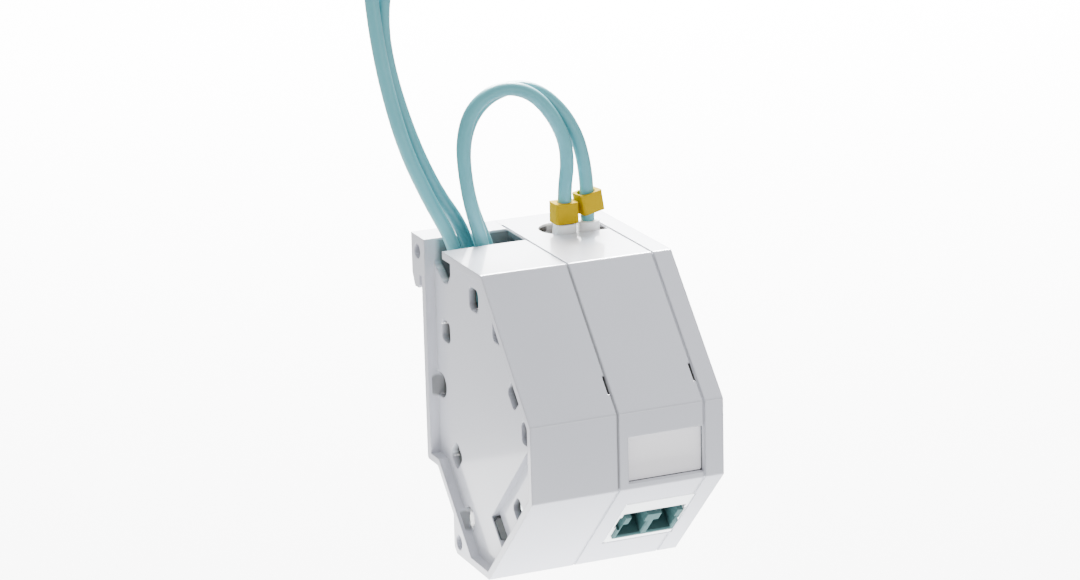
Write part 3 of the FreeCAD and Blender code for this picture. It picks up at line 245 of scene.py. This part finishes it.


# The painted shade: its grey behind the walls and in the cord's opening, and how far in it takes to reach
# them
hollow_shade_grey = (0.150, 0.152, 0.156)
opening_shade_grey = (0.032, 0.030, 0.030)
hollow_reach = 0.0012
wall_gain = 2.4  # the grey darkens this much faster behind the outer walls than behind the panel

# Outward direction of each side of the housings, and how far out along it the painted shade begins to
# darken the grey
housing_sides = [
    ((0.0, 0.0, 1.0), 0.0253),
    ((0.0, 1.0, 0.0), -0.0005),
    ((0.0, -0.7310, 0.6825), 0.03928),
    ((0.0, -1.0, 0.0), 0.0513),
    ((0.0, -0.7071, -0.7071), 0.04539),
    ((0.0, 0.0, -1.0), 0.0341),
    ((0.0, 0.7071, -0.7071), 0.00947),
    ((1.0, 0.0, 0.0), 0.0192),
]

# The store's side panel, and the band along the lower slope where it stands further out
panel_face = 0.01735
band_step = 0.0014
band_width = 0.0102
band_start = -0.00299
lower_slope = 0.04589

# The thin gap between store and housing, drawn as a line of painted shade but for the top and the lower
# slope
seam_place = -0.0020
seam_half = 0.00024
seam_fade = 0.00010
seam_top = 0.0251
seam_slope_gap = 0.0005
seam_shade = 0.6

# The two round windows that cut into the rim, whose shade reaches the rim's inner wall
rim_windows = [(-0.0176, -0.0018, -0.0040), (-0.0180, -0.0156, -0.0275)]
rim_depths = (0.0008, 0.00145)
rim_edge = -0.0188
rim_shade_radius = 0.0024
rim_shade_fade = 0.0006
rim_shade = 0.75

# Above this height and to the right of this place lies the cord's opening, which the boots fill
# There the painted shade is a deeper grey.
opening_height = 0.0222
opening_left = 0.002


def along(shade, place, direction):
    """How far a place lies along a direction."""
    return shade.node("ShaderNodeVectorMath", {"operation": "DOT_PRODUCT"}, {0: place, 1: direction}, 1)


def housing_painted_shade(shade, place):
    """Painted shade: how dark a place is, 0 on the outside and 1 well inside the walls, and its grey."""
    sideways = along(shade, place, (1.0, 0.0, 0.0))
    upwards = along(shade, place, (0.0, 0.0, 1.0))
    behind_slope = lower_slope + along(shade, place, (0.0, 0.7071, 0.7071))
    down_slope = along(shade, place, (0.0, 0.7071, -0.7071))
    band = shade.maths("LESS_THAN", behind_slope, band_width)
    band = band * shade.maths("LESS_THAN", down_slope, band_start)
    wall_depth = housing_sides[0][1] - upwards
    for outward, start in housing_sides[1:]:
        wall_depth = shade.maths("MINIMUM", wall_depth, start - along(shade, place, outward))
    depth = shade.maths("MINIMUM", panel_face + sideways - band * band_step, wall_depth * wall_gain)
    darkness = ramp(shade, depth, hollow_reach)

    rim_wall = shade.maths("GREATER_THAN", wall_depth, rim_depths[0])
    rim_wall = rim_wall * shade.maths("LESS_THAN", wall_depth, rim_depths[1])
    rim_wall = rim_wall * shade.maths("GREATER_THAN", sideways, rim_edge)
    for centre in rim_windows:
        gap = shade.node("ShaderNodeVectorMath", {"operation": "DISTANCE"}, {0: place, 1: centre}, 1)
        near = ramp(shade, rim_shade_radius - gap, rim_shade_fade)
        darkness = shade.maths("MAXIMUM", darkness, near * rim_wall * rim_shade)

    # Painted shade along the seam
    from_seam = shade.maths("ABSOLUTE", sideways - seam_place, 0.0)
    seam = ramp(shade, seam_half - from_seam, seam_fade)
    below_top = shade.maths("LESS_THAN", upwards, seam_top)
    off_slope = shade.maths("GREATER_THAN", behind_slope, seam_slope_gap)
    darkness = shade.maths("MAXIMUM", darkness, seam * below_top * off_slope * seam_shade)

    # A deeper painted shade in the cord's opening
    cord_opening = shade.maths("GREATER_THAN", upwards, opening_height)
    cord_opening = cord_opening * shade.maths("GREATER_THAN", sideways, opening_left)
    return darkness, tint(shade, cord_opening, hollow_shade_grey, opening_shade_grey)


housing_finish = moulded_finish(
    "housing_grey",
    (0.530, 0.545, 0.605),
    (0.570, 0.585, 0.645),
    0.24,
    edge=0.0004,
    coat=0.8,
    hollow=housing_painted_shade,
)
for name in ("store_shell", "module_shell", "side_cover", "coupling_pin_top", "coupling_pin_bottom"):
    dress(name, housing_finish)


# The keystone insert: a white moulded block that snaps into the sloping front with a lug and a latch,
# smoother and whiter than the housing round it.
keystone_finish = moulded_finish(
    "keystone_white", (0.90, 0.935, 0.96), (0.93, 0.96, 0.98), 0.24, edge=0.0002, coat=0.8
)
dress("keystone_frame", keystone_finish)


# The duplex coupler: aqua plastic with thin port walls and square ports, the colour of multimode fibre,
# and two split ceramic sleeves behind the ports, which hold the ferrules of the plugs end to end.
# Where the coupler's front lies, and how far into the ports the painted shade takes to reach its darkest
coupler_face = 0.04624
port_fade = 0.0016


def coupler_finish():
    """Aqua plastic, pale on the rims of the ports, with painted shade that darkens it down inside them.
    """
    material, shade, shader = new_finish("coupler_aqua")
    place = shade.node("ShaderNodeTexCoord", output=3)
    fine = mottle(shade, place, 0.00035, 4.0, 0.6)
    inward = along(shade, place, (0.0, 0.7071, 0.7071))
    depth = ramp(shade, inward + coupler_face, port_fade)
    rim = (0.042, 0.094, 0.096)
    # The painted shade down inside the ports
    port_shade = (0.030, 0.078, 0.083)
    feed(shader, "Base Color", tint(shade, depth * 0.94 + fine * 0.06, rim, port_shade))
    feed(shader, "Roughness", 0.38 + fine * 0.14)
    feed(shader, "Specular IOR Level", 0.12)
    soft_edge = shade.node("ShaderNodeBevel", {"samples": 6}, {"Radius": 0.00012})
    values = {"Strength": 0.12, "Distance": 0.00003, "Height": fine, "Normal": soft_edge}
    feed(shader, "Normal", shade.node("ShaderNodeBump", None, values))
    return material


dress("coupler_body", coupler_finish())
ceramic_finish = moulded_finish(
    "zirconia_white", (0.80, 0.79, 0.76), (0.86, 0.85, 0.83), 0.16, edge=0.00008, coat=0.5
)
for name in ("sleeve_a", "sleeve_b", "ferrule_a", "ferrule_b", "far_ferrule_a", "far_ferrule_b"):
    dress(name, ceramic_finish)


# The fibre plugs: beige moulded housings with a latch lever, held in pairs by a white clip,
# with a plated crimp sleeve between plug and boot.
plug_finish = moulded_finish(
    "plug_beige", (0.66, 0.62, 0.52), (0.73, 0.69, 0.59), 0.32, edge=0.00012, coat=0.1
)
for name in ("plug_a", "plug_b", "far_plug_a", "far_plug_b"):
    dress(name, plug_finish)
clip_finish = moulded_finish("clip_white", (0.80, 0.80, 0.80), (0.86, 0.86, 0.86), 0.34, edge=0.00012)
for name in ("duplex_clip", "far_duplex_clip"):
    dress(name, clip_finish)


def metal_finish(name, dark, light, roughness, grain):
    """Drawn or plated metal, with fine scratches in its gloss."""
    material, shade, shader = new_finish(name)
    place = shade.node("ShaderNodeTexCoord", output=3)
    fine = mottle(shade, place, grain, 4.0, 0.6)
    feed(shader, "Base Color", tint(shade, fine, dark, light))
    feed(shader, "Metallic", 1.0)
    feed(shader, "Roughness", roughness + fine * 0.15)
    bump = shade.node("ShaderNodeBump", None, {"Strength": 0.15, "Distance": 0.00002, "Height": fine})
    feed(shader, "Normal", bump)
    return material


crimp_metal = metal_finish("crimp_plating", (0.62, 0.50, 0.28), (0.74, 0.62, 0.38), 0.26, 0.0004)
for name in ("crimp_a", "crimp_b", "far_crimp_a", "far_crimp_b"):
    dress(name, crimp_metal)


# The boots: tapered sleeves of soft white rubber behind the plugs, grooved on two sides so that they bend
# with the cord. The inner ones turn upright into the housing's top opening.
boot_finish = moulded_finish(
    "boot_white", (0.89, 0.90, 0.90), (0.93, 0.935, 0.93), 0.48, grain=0.0002, edge=0.0002
)
for name in ("boot_a", "boot_b", "far_boot_a", "far_boot_b"):
    dress(name, boot_finish)


# The cable markers: yellow plastic clips, pressed on the strands just above the housing,
# with blank faces.
marker_finish = moulded_finish("marker_yellow", (0.38, 0.250, 0.0), (0.44, 0.292, 0.0), 0.60, shine=0.02)
for name in ("marker_a", "marker_b"):
    dress(name, marker_finish)


# The label: a blank white card that lies in the recess of the housing's front,
# a shade lighter than the plastic round it.
label_finish = moulded_finish(
    "label_plate", (0.94, 0.93, 0.965), (0.965, 0.955, 0.99), 0.36, grain=0.0002, edge=0.0001, coat=0.3
)
dress("label_card", label_finish)


# The rail foot: a moulded slider behind the housing, with a hook for the rail's lower edge
# and a slotted tail that a screwdriver pulls down to free the holder.
foot_finish = moulded_finish("foot_grey", (0.30, 0.31, 0.32), (0.35, 0.36, 0.37), 0.40)
dress("rail_foot", foot_finish)


# The foot's spring: a coil of steel wire between the guide's cross bar and the foot's shelf.
# It stands on the bar, and is pressed together when the foot is pulled down.
def coil_mesh(name, low, high, wire, turns, steps_per_turn, sides):
    """Mesh of a wire coil that fills a box, with closed ends."""
    centre_x, centre_y = (low[0] + high[0]) / 2, (low[1] + high[1]) / 2
    radius = (high[0] - low[0]) / 2 - wire / 2
    first_z = low[2] + wire / 2
    rise = high[2] - low[2] - wire
    steps = int(turns * steps_per_turn)
    points, faces = [], []
    for step in range(steps + 1):
        turn = 2 * math.pi * step / steps_per_turn
        outward = Vector((math.cos(turn), math.sin(turn), 0.0))
        middle = Vector((centre_x, centre_y, first_z + rise * step / steps)) + outward * radius
        for side in range(sides):
            around = 2 * math.pi * side / sides
            across = outward * math.cos(around) + Vector((0, 0, 1)) * math.sin(around)
            points.append(middle + across * wire / 2)
    for step in range(steps):
        for side in range(sides):
            near, far = step * sides, (step + 1) * sides
            following = (side + 1) % sides
            faces.append((near + side, far + side, far + following, near + following))
    faces.append(tuple(range(sides)))
    faces.append(tuple(range(steps * sides + sides - 1, steps * sides - 1, -1)))
    mesh = bpy.data.meshes.new(name)
    mesh.from_pydata(points, [], faces)
    for face in mesh.polygons:
        face.use_smooth = len(face.vertices) == 4
    return mesh


spring_low, spring_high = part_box("foot_spring")
spring_wire = 0.00045
spring_turns = 3.5
coil = coil_mesh(
    "foot_coil", spring_low, spring_high, spring_wire, spring_turns, steps_per_turn=24, sides=10
)
coil.materials.append(metal_finish("spring_wire", (0.55, 0.55, 0.56), (0.68, 0.68, 0.69), 0.22, 0.0003))
spring = bpy.data.objects.new("foot_coil", coil)
bpy.context.scene.collection.objects.link(spring)
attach(spring, "holder")
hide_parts("foot_spring")
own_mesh(spring)


# The studio: a pale sweep under and behind the holder, even light from all round, a broad light high at
# the back that gives the top its sheen, and a weak one in front. Three more that no camera sees brighten
# the lower slope, the lower part of the side panel and what the top mirrors.
sweep_half_width = 2.6
sweep_front = -1.6
sweep_top = 2.2
floor_height = -0.085
bend_start = 0.7
bend_radius = 0.5
bend_steps = 12


def sweep_finish():
    """Pale matt paper, a little cloudy."""
    material, shade, shader = new_finish("pale_sweep")
    place = shade.node("ShaderNodeTexCoord", output=3)
    cloud = mottle(shade, place, 0.4)
    feed(shader, "Base Color", tint(shade, cloud, (0.90, 0.90, 0.90), (0.93, 0.93, 0.93)))
    feed(shader, "Roughness", 0.9)
    return material


sweep_mesh = bpy.data.meshes.new("sweep")
sweep_profile = [(sweep_front, floor_height)]
for step in range(bend_steps + 1):
    turn = math.radians(90 * step / bend_steps)
    sweep_profile.append(
        (bend_start + bend_radius * math.sin(turn), floor_height + bend_radius * (1 - math.cos(turn)))
    )
sweep_profile.append((bend_start + bend_radius, sweep_top))
sweep_points = [(x, y, z) for (y, z) in sweep_profile for x in (-sweep_half_width, sweep_half_width)]
sweep_faces = [(2 * i, 2 * i + 1, 2 * i + 3, 2 * i + 2) for i in range(len(sweep_profile) - 1)]
sweep_mesh.from_pydata(sweep_points, [], sweep_faces)
sweep_mesh.materials.append(sweep_finish())
for face in sweep_mesh.polygons:
    face.use_smooth = True
sweep = bpy.data.objects.new("sweep", sweep_mesh)
bpy.context.scene.collection.objects.link(sweep)
sweep.visible_diffuse = False
sweep.visible_glossy = False


def soft_light(name, place, aim, size, power):
    """A broad square light that faces a point."""
    data = bpy.data.lights.new(name, "AREA")
    data.shape = "RECTANGLE"
    data.size, data.size_y = size
    data.energy = power
    lamp = bpy.data.objects.new(name, data)
    lamp.location = place
    lamp.rotation_euler = (Vector(aim) - Vector(place)).to_track_quat("-Z", "Y").to_euler()
    bpy.context.scene.collection.objects.link(lamp)
    return lamp


soft_light("overhead", (0.45, 1.00, 0.95), (0, 0.15, 0), (0.9, 0.7), 285.0)
soft_light("front", (0.30, -1.10, -0.02), (0, -0.04, 0), (0.5, 0.4), 2.9)
under = soft_light("under", (0.0, -0.035, -0.080), (0, -0.035, 1), (0.14, 0.09), 0.50)
floor_card = soft_light("floor_card", (-0.12, 0.09, -0.082), (-0.12, 0.09, 1), (0.16, 0.15), 0.28)
back_card = soft_light("back_card", (0.45, 1.00, 0.38), (0, 0, 0.02), (1.2, 0.5), 18.0)
for lamp in (under, floor_card, back_card):
    lamp.visible_camera = False
under.visible_glossy = False

# The moulded walls are thin enough to let a little daylight into the store behind its windows.
# Each place is in metres and each power in watts.
glows = [((-0.0120, -0.0235, -0.0235), 0.0032), ((-0.0080, -0.0245, -0.0040), 0.0045)]
glow_radius = 0.0015
for place, power in glows:
    glow_data = bpy.data.lights.new("glow", "POINT")
    glow_data.energy = power
    glow_data.shadow_soft_size = glow_radius
    glow = bpy.data.objects.new("glow", glow_data)
    glow.location = place
    glow.visible_camera = False
    bpy.context.scene.collection.objects.link(glow)

world = bpy.data.worlds.new("studio")
world.use_nodes = True
background = world.node_tree.nodes["Background"]
background.inputs["Color"].default_value = (1.0, 1.0, 1.0, 1.0)
background.inputs["Strength"].default_value = 1.22
bpy.context.scene.world = world
